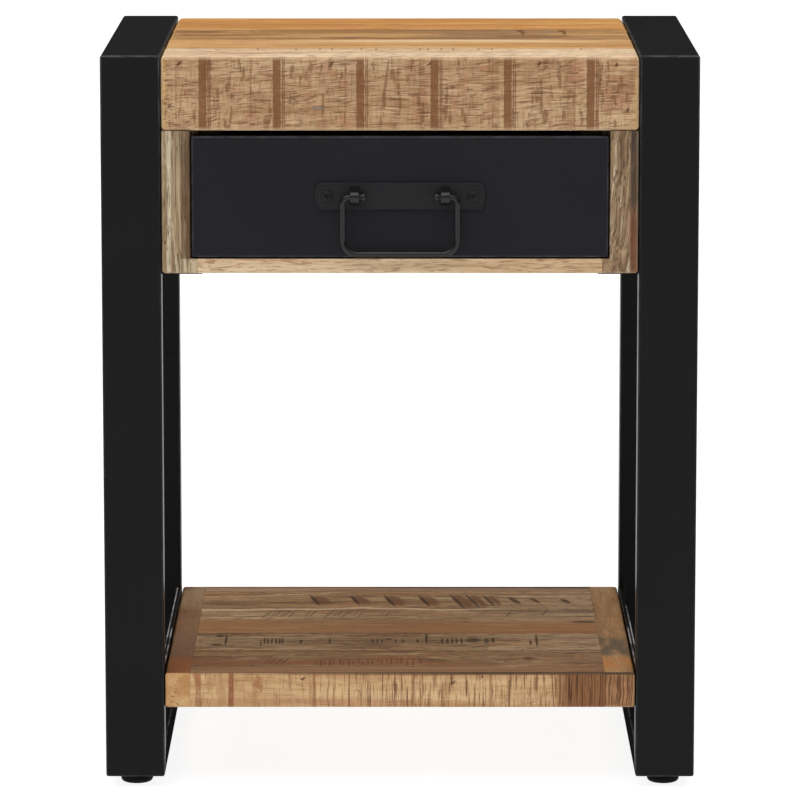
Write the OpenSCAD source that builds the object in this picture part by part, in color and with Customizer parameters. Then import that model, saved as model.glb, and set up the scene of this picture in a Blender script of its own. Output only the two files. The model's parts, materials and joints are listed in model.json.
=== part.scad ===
// Side table with one drawer: two closed steel side frames carry a wooden top, a drawer case and a shelf.
// Millimetres. X runs from left to right, Y from front to back, Z up from the floor.

/* [Overall] */
// Width over both side frames
table_w = 400; // [360:1:460]
// Depth of the side frames
frame_d = 300; // [280:1:360]
// Height from the floor to the top of the side frames
table_h = 500; // [460:1:620]

/* [Side frames] */
// Width of the frame tube, seen from the front
tube_w = 40; // [30:1:50]
// Thickness of the frame tube, seen from the side
tube_t = 20; // [18:1:25]
// Wall of the frame tube
tube_wall = 1.5; // [1.2:0.1:2.5]
// Outside corner radius of the frame tube
tube_r = 2; // [1:0.25:3]
// Leg of the angle bars that carry the shelf and the drawer case
angle_leg = 30; // [25:1:35]
// Thickness of the angle bars
angle_t = 3; // [2:0.5:4]

/* [Feet] */
// Height of a foot below its frame
foot_h = 8; // [5:0.5:12]
// Largest radius of a foot
foot_r = 11; // [9:0.5:14]
// Distance from the end of the frame to the middle of a foot
foot_inset = 22.5; // [18:0.5:40]

/* [Top and shelf] */
// Thickness of the top
top_t = 50; // [30:1:60]
// How far the top stays in front of the rear face of the frames
top_setback = 13; // [5:1:20]
// Relative widths of the top's staves, from front to back
top_shares = [55, 65, 75, 92]; // [40:1:100]
// Height of the shelf's underside above the floor
shelf_z = 56; // [50:1:90]
// Thickness of the shelf
shelf_t = 24; // [18:1:30]
// Width of the shelf's left rim
shelf_left_rim = 17; // [15:0.5:25]
// Width of the shelf's right rim
shelf_right_rim = 20.5; // [15:0.5:25]
// Width of the shelf's front and rear rims
shelf_end_rim = 20; // [15:1:25]
// Relative widths of the shelf's inner staves, from front to back
shelf_shares = [54, 57, 86, 63]; // [40:1:100]

/* [Drawer case] */
// Height of the case below the top
case_h = 96; // [80:1:120]
// Thickness of the case's side panels
case_side_t = 24; // [20:1:26]
// Thickness of the case's bottom and back
case_panel_t = 10; // [8:1:12]

/* [Drawer] */
// Gap between the drawer front and the top
front_top_gap = 3.5; // [2:0.5:6]
// Gap beside and below the drawer front
front_gap = 1; // [0.8:0.1:2]
// Thickness of the drawer's sides and back
box_t = 12; // [10:1:14]
// Length of the drawer box behind its front
box_d = 246; // [220:1:246]
// How far the drawer opens
drawer_travel = 200; // [120:5:200]

/* [Handle] */
// Length of the handle's back plate
handle_w = 114; // [100:1:130]
// Height of the handle's back plate
handle_h = 18.3; // [14:0.1:24]
// Diameter of the bail's wire
bail_d = 4; // [3:0.5:5]
// Width of the bail between the centres of its arms
bail_w = 76.8; // [70:0.1:84]
// Drop of the bail from its pivot to the middle of its lower bar
bail_drop = 38.3; // [32:0.1:40]
// How far the handle sits above the middle of the drawer front
handle_rise = 0.8; // [-6:0.1:6]

/* [Hidden] */
$fn = 64;
SIDES = [-1, 1];
ENDS = [-1, 1];

// Fits
clearance = 0.05; // radial, of a pin, screw or dowel in its hole
board_gap = 0.5; // between the wood and the frames
running_gap = 0.3; // between the drawer box and its runners

// Frames
frame_top = table_h;
frame_h = table_h - foot_h;
front_y = -frame_d / 2;
rear_y = frame_d / 2;
inner_x = table_w / 2 - tube_w;
leg_x = table_w / 2 - tube_w / 2;
angle_l = frame_d - 2 * tube_t;
foot_flat_r = foot_r - 3;
foot_stem_r = 3.9;
foot_stem_l = 10;

// Boards
board_x = inner_x - board_gap;
top_rear_y = rear_y - top_setback;
top_z1 = frame_top - board_gap;
top_z0 = top_z1 - top_t;
top_r = 3;
case_z0 = top_z0 - case_h;
case_inner_x = board_x - case_side_t;
case_r = 3;
floor_z = case_z0 + case_panel_t;
case_back_y = top_rear_y - case_panel_t;
shelf_top = shelf_z + shelf_t;
shelf_r = 2;
dowel_r = 4;
dowel_l = 40;
screw_x = inner_x - 9.5;
screw_ys = [-80, 80];
screw_r = 2;
screw_l = 18;

// Drawer front: a steel tray over a wooden board
tray_t = 1.2;
tray_d = 14;
tray_r = 1.5;
front_t = 15.5;
front_back_y = front_y + front_t;
rebate_y = front_back_y + 0.5;
rebate_x = case_inner_x + 4.9;
tray_x = rebate_x - front_gap;
tray_z0 = floor_z + front_gap;
tray_z1 = top_z0 - front_top_gap;

// Drawer box, its runners and its stop
strip_w = 15;
runner_h = 4;
kicker_h = 8;
box_x = case_inner_x - 1;
box_inner_x = box_x - box_t;
box_z0 = floor_z + runner_h + running_gap;
box_z1 = top_z0 - kicker_h - 1.5;
box_rear_y = front_back_y + box_d;
box_back_y = box_rear_y - box_t;
bottom_t = 5;
groove = 5;
bottom_z = box_z0 + 6;
stop_rear_y = box_back_y - drawer_travel - running_gap;
stop_d = 16;
stop_w = 40;
stop_h = kicker_h + 1.5 + 4;
front_screw_zs = [bottom_z + 12, box_z1 - 12];
front_screw_x = box_x - box_t / 2;
front_screw_l = 38;
back_screw_zs = [bottom_z + 18, box_z1 - 14];
back_screw_y = box_rear_y - box_t / 2;
back_screw_l = 30;

// Handle
plate_t = 1.8;
plate_end_r = 19.35;
handle_z = (tray_z0 + tray_z1) / 2 + handle_rise;
plate_y = front_y - plate_t;
pivot_y = front_y - 8.5;
wire_r = bail_d / 2;
post_x = bail_w / 2 - 8.1;
post_w = 6.4;
post_base = 13;
boss_r = 4.4;
bend_r = 4.5;
corner_r = 10;
head_r = 2.8;
head_in = 7.7;
head_out = 4.1;
handle_screw_x = handle_w / 2 - 8.3;
handle_screw_l = 15;
reach = boss_r - (pivot_y - front_y);

// The origin is the middle of the whole table on the floor, with the handle counted in the depth.
mid_y = reach / 2;

steel = [0.13, 0.13, 0.14];
zinc = [0.62, 0.62, 0.60];
plastic = [0.08, 0.08, 0.08];
top_wood = [0.78, 0.61, 0.40];
case_wood = [0.68, 0.57, 0.43];
shelf_wood = [0.55, 0.42, 0.29];
inner_wood = [0.76, 0.65, 0.48];

SIDED = ["front_leg", "rear_leg", "top_rail", "bottom_rail", "front_foot", "rear_foot", "shelf_angle",
         "case_angle", "shelf_rim", "case_side", "runner", "kicker", "drawer_side", "handle_post"];
SINGLE = ["shelf_front_rim", "shelf_rear_rim", "case_bottom", "case_back", "drawer_stop", "drawer_front_tray",
          "drawer_front_board", "drawer_back", "drawer_bottom", "handle_plate", "handle_bail", "shelf_screws",
          "case_screws", "top_dowels", "drawer_front_screws", "drawer_back_screws", "handle_screws"];

function sided(side, name) = str(side < 0 ? "left_" : "right_", name);
function sum_to(list, n) = n == 0 ? 0 : list[n - 1] + sum_to(list, n - 1);
function joint_at(shares, n, y0, y1) = y0 + (y1 - y0) * sum_to(shares, n) / sum_to(shares, len(shares));
function top_joint(n) = joint_at(top_shares, n, front_y, top_rear_y);
function rim_width(side) = side < 0 ? shelf_left_rim : shelf_right_rim;
function shelf_joint(n) = joint_at(shelf_shares, n, front_y + shelf_end_rim, rear_y - shelf_end_rim);
function dowel_y(n) = (top_joint(n) + top_joint(n + 1)) / 2;

// Moves the table so that the origin is under the middle of its whole depth
module placed() {
    translate([0, mid_y, 0]) children();
}

// Keeps a right-hand shape, or mirrors it to the left
module on_side(side) {
    if (side < 0) mirror([1, 0, 0]) children();
    else children();
}

// Keeps a rear shape, or mirrors it to the front
module at_end(end) {
    if (end < 0) mirror([0, 1, 0]) children();
    else children();
}

// Block between two opposite corners
module block(lo, hi) {
    translate(lo) cube(hi - lo);
}

// Rectangle from the origin with rounded corners
module rounded_rect(w, h, r) {
    translate([r, 0]) square([w - 2 * r, h]);
    translate([0, r]) square([w, h - 2 * r]);
    for (x = [r, w - r], y = [r, h - r]) translate([x, y]) circle(r);
}

// Block between two opposite corners with all its edges rounded
module soft_block(lo, hi, r) {
    size = hi - lo;
    translate(lo) intersection() {
        linear_extrude(size[2]) rounded_rect(size[0], size[1], r);
        translate([0, size[1], 0]) rotate([90, 0, 0]) linear_extrude(size[1]) rounded_rect(size[0], size[2], r);
        rotate([90, 0, 90]) linear_extrude(size[0]) rounded_rect(size[1], size[2], r);
    }
}

// Mitred frame tube along +Z, with its long outer face at y = 0
module tube(length) {
    inner_r = max(tube_r - tube_wall, 0.3);
    intersection() {
        linear_extrude(length) translate([-tube_w / 2, 0]) difference() {
            rounded_rect(tube_w, tube_t, tube_r);
            translate([tube_wall, tube_wall])
                rounded_rect(tube_w - 2 * tube_wall, tube_t - 2 * tube_wall, inner_r);
        }
        rotate([90, 0, 90]) linear_extrude(tube_w + 2, center = true)
            polygon([[0, 0], [tube_t, tube_t], [tube_t, length - tube_t], [0, length]]);
    }
}

module front_leg(side) {
    color(steel) placed() translate([side * leg_x, front_y, foot_h]) tube(frame_h);
}

module rear_leg(side) {
    color(steel) placed() translate([side * leg_x, rear_y, foot_h]) rotate([0, 0, 180]) tube(frame_h);
}

module top_rail(side) {
    color(steel) placed() translate([side * leg_x, front_y, frame_top]) rotate([-90, 0, 0]) tube(frame_d);
}

module bottom_rail(side) {
    color(steel) placed() translate([side * leg_x, 0, foot_h]) difference() {
        translate([0, rear_y, 0]) rotate([90, 0, 0]) tube(frame_d);
        for (end = ENDS) translate([0, end * (rear_y - foot_inset), -1])
            cylinder(h = tube_wall + 2, r = foot_stem_r + clearance);
    }
}

// Glide with a rounded rim and a stem that is pressed into the rail
module foot(side, end) {
    color(plastic) placed() translate([side * leg_x, end * (rear_y - foot_inset), 0]) rotate_extrude() {
        square([foot_flat_r, foot_h]);
        translate([0, 3]) square([foot_r, foot_h - 3]);
        translate([foot_flat_r, 3]) circle(3);
        square([foot_stem_r, foot_h + foot_stem_l]);
    }
}

// Angle bar between the legs of one frame: its flat flange reaches inwards below z
module angle_bar(side, z) {
    color(steel) placed() on_side(side) difference() {
        union() {
            block([inner_x + angle_t - angle_leg, -angle_l / 2, z - angle_t], [inner_x + angle_t, angle_l / 2, z]);
            block([inner_x, -angle_l / 2, z - angle_t], [inner_x + angle_t, angle_l / 2, z - angle_t + angle_leg]);
        }
        for (y = screw_ys) translate([screw_x, y, z - angle_t - 1])
            cylinder(h = angle_t + 2, r = screw_r + clearance);
    }
}

// Holes for the screws that come up from an angle bar into the wood at height z
module upward_holes(z) {
    for (side = SIDES, y = screw_ys) translate([side * screw_x, y, z - 1])
        cylinder(h = screw_l - angle_t + 1.5, r = screw_r + clearance);
}

// Slot pattern of a cross-head screw
module cross_recess(r, depth) {
    for (turn = [0, 90]) rotate([0, 0, turn]) translate([-0.6 * r, -0.13 * r, -1]) cube([1.2 * r, 0.26 * r, depth + 1]);
}

// Round-head screw: the shank runs up from z = 0 and the head hangs below it
module round_screw(length, r, head_r, head_h) {
    cap = head_h / 2;
    ball_r = (head_r * head_r + cap * cap) / (2 * cap);
    cylinder(h = length - 2 * r, r = r);
    translate([0, 0, length - 2 * r]) cylinder(h = 2 * r, r1 = r, r2 = 0.3);
    difference() {
        intersection() {
            translate([0, 0, -head_h]) cylinder(h = head_h, r = head_r);
            translate([0, 0, ball_r - head_h]) sphere(ball_r);
        }
        translate([0, 0, -head_h]) cross_recess(head_r, head_h * 0.6);
    }
}

// Countersunk screw: the flat head ends at z = 0 and the shank runs up
module flat_screw(length, r, head_r) {
    difference() {
        union() {
            cylinder(h = head_r - r, r1 = head_r, r2 = r);
            cylinder(h = length - 2 * r, r = r);
            translate([0, 0, length - 2 * r]) cylinder(h = 2 * r, r1 = r, r2 = 0.3);
        }
        cross_recess(head_r, 1.2);
    }
}

// Hole for a countersunk screw, a little larger than the screw all round
module flat_screw_hole(length, r, head_r) {
    translate([0, 0, -1]) cylinder(h = 1, r = head_r + clearance);
    cylinder(h = head_r - r, r1 = head_r + clearance, r2 = r + clearance);
    cylinder(h = length + 0.5, r = r + clearance);
}

module whole_top() {
    difference() {
        soft_block([-board_x, front_y, top_z0], [board_x, top_rear_y, top_z1], top_r);
        dowel_holes();
    }
}

module top_stave(n) {
    color(top_wood) placed() intersection() {
        whole_top();
        block([-board_x, top_joint(n), top_z0], [board_x, top_joint(n + 1), top_z1]);
    }
}

module dowel_places() {
    for (side = SIDES, n = [0:len(top_shares) - 1])
        translate([side * (board_x - case_side_t / 2), dowel_y(n), top_z0]) children();
}

module dowel_holes() {
    dowel_places() translate([0, 0, -dowel_l / 2 - 0.5]) cylinder(h = dowel_l + 1, r = dowel_r + clearance);
}

module top_dowels() {
    color(inner_wood) placed() dowel_places() {
        translate([0, 0, 1 - dowel_l / 2]) cylinder(h = dowel_l - 2, r = dowel_r);
        for (turn = [0, 180]) rotate([turn, 0, 0]) translate([0, 0, dowel_l / 2 - 1])
            cylinder(h = 1, r1 = dowel_r, r2 = dowel_r - 1);
    }
}

module whole_shelf() {
    difference() {
        soft_block([-board_x, front_y, shelf_z], [board_x, rear_y, shelf_top], shelf_r);
        upward_holes(shelf_z);
    }
}

module shelf_rim(side) {
    color(shelf_wood) placed() intersection() {
        whole_shelf();
        on_side(side) block([board_x - rim_width(side), front_y, shelf_z], [board_x, rear_y, shelf_top]);
    }
}

module shelf_end_board(end) {
    color(shelf_wood) placed() intersection() {
        whole_shelf();
        at_end(end) block([shelf_left_rim - board_x, rear_y - shelf_end_rim, shelf_z],
                          [board_x - shelf_right_rim, rear_y, shelf_top]);
    }
}

module shelf_front_rim() {
    shelf_end_board(-1);
}

module shelf_rear_rim() {
    shelf_end_board(1);
}

module shelf_stave(n) {
    color(shelf_wood) placed() intersection() {
        whole_shelf();
        block([shelf_left_rim - board_x, shelf_joint(n), shelf_z],
              [board_x - shelf_right_rim, shelf_joint(n + 1), shelf_top]);
    }
}

// Outside of the drawer case, whose rounded upper edges lie above the case
module case_outline() {
    soft_block([-board_x, front_y, case_z0], [board_x, top_rear_y, top_z0 + 2 * case_r], case_r);
}

// Side panel: its inner front edge is cut back to seat the drawer front
module case_side(side) {
    color(case_wood) placed() difference() {
        intersection() {
            case_outline();
            on_side(side) block([case_inner_x, front_y, case_z0], [board_x, top_rear_y, top_z0]);
        }
        on_side(side) block([case_inner_x - 1, front_y - 1, floor_z], [rebate_x, rebate_y, top_z0 + 1]);
        dowel_holes();
        upward_holes(case_z0);
    }
}

module case_bottom() {
    color(case_wood) placed() intersection() {
        case_outline();
        block([-case_inner_x, front_y, case_z0], [case_inner_x, top_rear_y, floor_z]);
    }
}

module case_back() {
    color(inner_wood) placed()
        block([-case_inner_x, case_back_y, floor_z], [case_inner_x, top_rear_y, top_z0]);
}

// Strip along one inner face of the case, behind the drawer front
module strip(side, z0, z1) {
    color(inner_wood) placed() on_side(side)
        block([case_inner_x - strip_w, rebate_y, z0], [case_inner_x, case_back_y, z1]);
}

module runner(side) {
    strip(side, floor_z, floor_z + runner_h);
}

module kicker(side) {
    strip(side, top_z0 - kicker_h, top_z0);
}

// Block under the top that the drawer's back meets when the drawer is fully open
module drawer_stop() {
    color(inner_wood) placed()
        block([-stop_w / 2, stop_rear_y - stop_d, top_z0 - stop_h], [stop_w / 2, stop_rear_y, top_z0]);
}

module drawer_front_tray() {
    color(steel) placed() difference() {
        intersection() {
            soft_block([-tray_x, front_y, tray_z0], [tray_x, front_y + tray_d + 2 * tray_r, tray_z1], tray_r);
            block([-tray_x, front_y, tray_z0], [tray_x, front_y + tray_d, tray_z1]);
        }
        block([tray_t - tray_x, front_y + tray_t, tray_z0 + tray_t], [tray_x - tray_t, 0, tray_z1 - tray_t]);
        handle_screw_places() cylinder(h = 10, r = screw_r + clearance);
    }
}

module drawer_front_board() {
    color(inner_wood) placed() difference() {
        block([tray_t - tray_x, front_y + tray_t, tray_z0 + tray_t], [tray_x - tray_t, front_back_y, tray_z1 - tray_t]);
        block([-box_inner_x - groove, front_back_y - groove, bottom_z],
              [box_inner_x + groove, front_back_y + 1, bottom_z + bottom_t]);
        front_screw_places() flat_screw_hole(front_screw_l, screw_r, 2 * screw_r);
        handle_screw_places() cylinder(h = handle_screw_l + 0.3, r = screw_r + clearance);
    }
}

module drawer_side(side) {
    color(inner_wood) placed() difference() {
        on_side(side) block([box_inner_x, front_back_y, box_z0], [box_x, box_rear_y, box_z1]);
        on_side(side) block([box_inner_x - 1, front_back_y - 1, bottom_z],
                            [box_inner_x + groove, box_rear_y + 1, bottom_z + bottom_t]);
        front_screw_places() flat_screw_hole(front_screw_l, screw_r, 2 * screw_r);
        back_screw_places() flat_screw_hole(back_screw_l, screw_r, 2 * screw_r);
    }
}

module drawer_back() {
    color(inner_wood) placed() difference() {
        block([-box_inner_x, box_back_y, bottom_z + bottom_t], [box_inner_x, box_rear_y, box_z1]);
        back_screw_places() flat_screw_hole(back_screw_l, screw_r, 2 * screw_r);
    }
}

module drawer_bottom() {
    color(inner_wood) placed() block([-box_inner_x - groove, front_back_y - groove, bottom_z],
                                     [box_inner_x + groove, box_rear_y, bottom_z + bottom_t]);
}

// Back plate with curved ends
module handle_plate() {
    color(steel) placed() difference() {
        translate([0, front_y, handle_z]) rotate([90, 0, 0]) linear_extrude(plate_t) intersection() {
            square([handle_w, handle_h], center = true);
            translate([handle_w / 2 - plate_end_r, 0]) long_disc(-1);
            translate([plate_end_r - handle_w / 2, 0]) long_disc(1);
        }
        handle_screw_places() cylinder(h = 10, r = screw_r + clearance);
    }
}

// Disc that is continued as a band towards one side
module long_disc(dir) {
    circle(plate_end_r, $fn = 128);
    translate([dir > 0 ? 0 : -handle_w, -handle_h / 2]) square([handle_w, handle_h]);
}

// Post with a rounded nose, bored for the end of the bail
module handle_post(side) {
    color(steel) placed() translate([side * post_x - post_w / 2, pivot_y, handle_z]) rotate([90, 0, 90])
        linear_extrude(post_w) difference() {
            union() {
                circle(boss_r);
                polygon([[0, boss_r], [0, -boss_r], [plate_y - pivot_y, -post_base / 2],
                         [plate_y - pivot_y, post_base / 2]]);
            }
            circle(wire_r + clearance);
        }
}

// Quarter turn of wire in the plane of the bail, bent about the origin
module wire_bend(r, start) {
    rotate([90, 0, 0]) rotate([0, 0, start]) rotate_extrude(angle = 90) translate([r, 0]) circle(wire_r);
}

module handle_bail() {
    arm_x = bail_w / 2;
    color(steel) placed() translate([0, pivot_y, handle_z]) {
        for (side = SIDES) on_side(side) {
            translate([post_x - head_in, 0, 0]) rotate([0, 90, 0]) cylinder(h = head_in - head_out, r = head_r);
            translate([post_x - head_in, 0, 0]) rotate([0, 90, 0])
                cylinder(h = arm_x - bend_r - post_x + head_in, r = wire_r);
            translate([arm_x - bend_r, 0, -bend_r]) wire_bend(bend_r, 0);
            translate([arm_x, 0, corner_r - bail_drop]) cylinder(h = bail_drop - bend_r - corner_r, r = wire_r);
            translate([arm_x - corner_r, 0, corner_r - bail_drop]) wire_bend(corner_r, -90);
        }
        translate([corner_r - arm_x, 0, -bail_drop]) rotate([0, 90, 0])
            cylinder(h = 2 * (arm_x - corner_r), r = wire_r);
    }
}

// Places a screw that goes in from the front of the handle's plate
module handle_screw_places() {
    for (side = SIDES) translate([side * handle_screw_x, plate_y, handle_z]) rotate([-90, 0, 0]) children();
}

module handle_screws() {
    color(steel) placed() handle_screw_places() round_screw(handle_screw_l, screw_r, 3.5, 2.2);
}

module front_screw_places() {
    for (side = SIDES, z = front_screw_zs)
        translate([side * front_screw_x, front_y + tray_t, z]) rotate([-90, 0, 0]) children();
}

module drawer_front_screws() {
    color(zinc) placed() front_screw_places() flat_screw(front_screw_l, screw_r, 2 * screw_r);
}

module back_screw_places() {
    for (side = SIDES, z = back_screw_zs)
        translate([side * box_x, back_screw_y, z]) rotate([0, -90 * side, 0]) children();
}

module drawer_back_screws() {
    color(zinc) placed() back_screw_places() flat_screw(back_screw_l, screw_r, 2 * screw_r);
}

module upward_screws(z) {
    color(zinc) placed() for (side = SIDES, y = screw_ys)
        translate([side * screw_x, y, z - angle_t]) round_screw(screw_l, screw_r, 4, 2.4);
}

module shelf_screws() {
    upward_screws(shelf_z);
}

module case_screws() {
    upward_screws(case_z0);
}

for (side = SIDES) {
    front_leg(side);
    rear_leg(side);
    top_rail(side);
    bottom_rail(side);
    foot(side, -1);
    foot(side, 1);
    angle_bar(side, shelf_z);
    angle_bar(side, case_z0);
    shelf_rim(side);
    case_side(side);
    runner(side);
    kicker(side);
    drawer_side(side);
    handle_post(side);
}
for (n = [0:len(top_shares) - 1])
    top_stave(n);
for (n = [0:len(shelf_shares) - 1])
    shelf_stave(n);
shelf_front_rim();
shelf_rear_rim();
case_bottom();
case_back();
drawer_stop();
drawer_front_tray();
drawer_front_board();
drawer_back();
drawer_bottom();
handle_plate();
handle_bail();
shelf_screws();
case_screws();
top_dowels();
drawer_front_screws();
drawer_back_screws();
handle_screws();
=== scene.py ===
"""Looks of the side table with drawer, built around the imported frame. Metres, +Z up, the front is at -Y."""
import json
import math

import bmesh
import bpy
from mathutils import Matrix, Vector, noise


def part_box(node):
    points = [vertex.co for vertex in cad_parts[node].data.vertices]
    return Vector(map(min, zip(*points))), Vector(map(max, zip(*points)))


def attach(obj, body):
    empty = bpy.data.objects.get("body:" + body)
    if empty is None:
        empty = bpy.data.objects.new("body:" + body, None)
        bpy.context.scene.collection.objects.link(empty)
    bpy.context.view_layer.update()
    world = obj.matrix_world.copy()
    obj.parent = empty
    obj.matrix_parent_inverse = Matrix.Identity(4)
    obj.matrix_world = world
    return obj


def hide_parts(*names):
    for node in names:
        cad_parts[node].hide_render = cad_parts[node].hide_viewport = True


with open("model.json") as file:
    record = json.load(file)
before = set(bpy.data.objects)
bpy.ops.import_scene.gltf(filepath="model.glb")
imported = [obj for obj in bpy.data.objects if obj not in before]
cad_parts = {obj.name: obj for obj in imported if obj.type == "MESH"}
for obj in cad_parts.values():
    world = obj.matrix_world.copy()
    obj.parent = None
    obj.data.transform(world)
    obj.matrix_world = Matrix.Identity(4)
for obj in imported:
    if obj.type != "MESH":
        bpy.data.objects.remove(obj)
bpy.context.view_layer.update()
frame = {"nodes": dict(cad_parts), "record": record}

MM = 0.001
RECORD = frame["record"]
BODY_OF = {node: body for body, nodes in RECORD["behaviour"]["bodies"].items() for node in nodes}
SIDES = (("left", -1), ("right", 1))
FRONT_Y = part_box("left_front_leg")[0][1]
REAR_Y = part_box("left_rear_leg")[1][1]
FRAME_Z0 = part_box("left_bottom_rail")[0][2]
FRAME_Z1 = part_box("left_top_rail")[1][2]
TUBE_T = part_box("left_bottom_rail")[1][2] - FRAME_Z0
INNER_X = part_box("right_front_leg")[0][0]
OUTER_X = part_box("right_front_leg")[1][0]
COAT = "1e1e1f"
WOOD_SPREAD = 0.14
SEAM = 0.3 * MM
SOFT_EDGE = 0.5 * MM
BOARD_STEP = 6 * MM


def linear(code):
    """A display colour of six hex digits as linear light. Linear tuples pass through."""
    if isinstance(code, tuple):
        return code
    return tuple(c / 12.92 if c <= 0.04045 else ((c + 0.055) / 1.055) ** 2.4
                 for c in (value / 255 for value in bytes.fromhex(code)))


# ---------------------------------------------------------------- node graphs

class Graph:
    """Node tree of a material or of the world. Its calls take numbers, colours or sockets as inputs."""

    def __init__(self, name, world=False):
        self.owner = (bpy.data.worlds if world else bpy.data.materials).new(name)
        self.owner.use_nodes = True
        self.tree = self.owner.node_tree
        self.tree.nodes.clear()
        output = self.add("ShaderNodeOutputWorld" if world else "ShaderNodeOutputMaterial")
        self.shader = self.add("ShaderNodeBackground" if world else "ShaderNodeBsdfPrincipled")
        self.tree.links.new(self.shader.outputs[0], output.inputs["Surface"])

    def add(self, kind, *values, **settings):
        """A new node with values on its first inputs."""
        node = self.tree.nodes.new(kind)
        for key, value in settings.items():
            setattr(node, key, value)
        for socket, value in zip(node.inputs, values):
            self.put(socket, value)
        return node

    def put(self, socket, value):
        if isinstance(value, bpy.types.NodeSocket):
            self.tree.links.new(value, socket)
        elif socket.type == "RGBA":
            socket.default_value = (*linear(value), 1)
        else:
            socket.default_value = value

    def math(self, operation, a, b=0.0, c=0.0):
        return self.add("ShaderNodeMath", a, b, c, operation=operation).outputs[0]

    def times(self, value, *others):
        """Product of values and sockets."""
        for other in others:
            value = self.math("MULTIPLY", value, other)
        return value

    def coords(self):
        return self.add("ShaderNodeTexCoord").outputs["Object"]

    def split(self, vector):
        return tuple(self.add("ShaderNodeSeparateXYZ", vector).outputs)

    def join(self, x, y, z):
        return self.add("ShaderNodeCombineXYZ", x, y, z).outputs[0]

    def noise(self, vector, scale, detail=3.0, roughness=0.55):
        node = self.add("ShaderNodeTexNoise")
        self.put(node.inputs["Vector"], vector)
        node.inputs["Scale"].default_value = scale
        node.inputs["Detail"].default_value = detail
        node.inputs["Roughness"].default_value = roughness
        return node.outputs[0]

    def remap(self, value, low, high, to_low=0.0, to_high=1.0):
        """Smooth step from to_low, where the value is low, to to_high."""
        return self.add("ShaderNodeMapRange", value, low, high, to_low, to_high,
                        interpolation_type="SMOOTHSTEP").outputs[0]

    def ramp(self, value, tones, spread):
        """Colour ramp through the tones, set evenly from 0.5 - spread to 0.5 + spread."""
        node = self.add("ShaderNodeValToRGB", value)
        elements = node.color_ramp.elements
        elements.remove(elements[-1])
        for i, tone in enumerate(tones):
            place = 0.5 + spread * (2 * i / (len(tones) - 1) - 1)
            element = elements.new(place) if i else elements[0]
            element.position = place
            element.color = (*linear(tone), 1)
        return node.outputs[0]

    def mix(self, share, a, b):
        node = self.add("ShaderNodeMix", data_type="RGBA")
        for socket, value in ((node.inputs["Factor"], share), (node.inputs[6], a), (node.inputs[7], b)):
            self.put(socket, value)
        return node.outputs[2]

    def attribute(self, name):
        return self.add("ShaderNodeAttribute", attribute_name=name).outputs["Fac"]

    def surface(self, tone, roughness, specular):
        inputs = self.shader.inputs
        self.put(inputs["Base Color"], tone)
        self.put(inputs["Roughness"], roughness)
        self.put(inputs["Specular IOR Level"], specular)

    def bump(self, height, strength, distance):
        node = self.add("ShaderNodeBump")
        self.put(node.inputs["Height"], height)
        self.put(node.inputs["Strength"], strength)
        node.inputs["Distance"].default_value = distance
        self.put(self.shader.inputs["Normal"], node.outputs[0])


# ---------------------------------------------------------------- plain materials

def flange_highlight_lines(graph, place, side):
    """Mask of the painted highlight lines along both arrises of a shelf bar's upright flange."""
    x, y, z = graph.split(place)
    lo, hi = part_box(side + "_shelf_angle")
    across = graph.math("SUBTRACT", max(abs(lo[0]), abs(hi[0])), graph.math("ABSOLUTE", x))
    lines = []
    for at, until in ((0.4, 200 if side == "left" else 60), (2.6, -20)):
        away = graph.math("ABSOLUTE", graph.math("SUBTRACT", across, at * MM))
        line = graph.remap(away, 0.3 * MM, 0.7 * MM, 1, 0)
        lines.append(graph.times(line, graph.remap(y, until * MM, (until + 20) * MM, 1, 0)))
    upper = graph.remap(z, hi[2] - 1.2 * MM, hi[2] - 0.8 * MM)
    patchy = graph.remap(graph.noise(place, 40.0), 0.35, 0.6, 0.15, 0.9)
    return graph.times(graph.math("MAXIMUM", *lines), upper, patchy)


def powder_coat(name, base, roughness=0.24, specular=0.03, arris_amount=0.6, low=1.0, bar=None):
    """Satin black coating: fine orange peel, faint clouds, and a painted highlight along the arrises.

    The argument after specular sets how bright the painted highlight along the arrises is, and low how much
    of it is left below the top rails. bar is the side of the shelf bar that also gets painted highlight
    lines.
    """
    graph = Graph(name)
    place = graph.coords()
    base = linear(base)
    cloud = graph.noise(place, 7.0)
    tone = graph.ramp(cloud, [tuple(share * c for c in base) for share in (0.94, 1.06)], 0.2)
    speck = graph.remap(graph.noise(place, 650.0, detail=1), 0.68, 0.8, 0, 0.3)
    tone = graph.mix(speck, tone, tuple(2.0 * c for c in base))
    # Painted highlight along the arrises: patchy, and weakened below the top rails by the factor low.
    arris_highlight = graph.remap(graph.noise(place, 70.0), 0.35, 0.7, 0.25 * arris_amount, arris_amount)
    arris_highlight = graph.times(arris_highlight, graph.remap(graph.split(place)[2], 0.42, 0.49, low, 1.0))
    tone = graph.mix(graph.times(graph.attribute("arris"), arris_highlight), tone, "868689")
    # Painted highlight lines along the shelf bar's flange.
    if bar:
        tone = graph.mix(flange_highlight_lines(graph, place, bar), tone, "b0b0b4")
    graph.surface(tone, graph.remap(cloud, 0.3, 0.7, roughness - 0.02, roughness + 0.03), specular)
    graph.bump(graph.noise(place, 900.0, detail=2), 0.06, 0.0004)
    return graph.owner


def zinc_plate():
    """Bright zinc on the screws, a little yellow and spangled."""
    graph = Graph("zinc_plate")
    place = graph.coords()
    tone = graph.ramp(graph.noise(place, 500.0), ((0.42, 0.42, 0.40), (0.66, 0.65, 0.60)), 0.2)
    graph.surface(tone, graph.remap(graph.noise(place, 260.0), 0.3, 0.7, 0.28, 0.45), 0.5)
    graph.put(graph.shader.inputs["Metallic"], 1.0)
    return graph.owner


def foot_plastic():
    """Matt black plastic with a fine texture."""
    graph = Graph("foot_plastic")
    place = graph.coords()
    tone = graph.ramp(graph.noise(place, 300.0), ("101011", "181819"), 0.2)
    graph.surface(tone, 0.7, 0.08)
    graph.bump(graph.noise(place, 1500.0), 0.15, 0.0003)
    return graph.owner


# ---------------------------------------------------------------- wood

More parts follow.
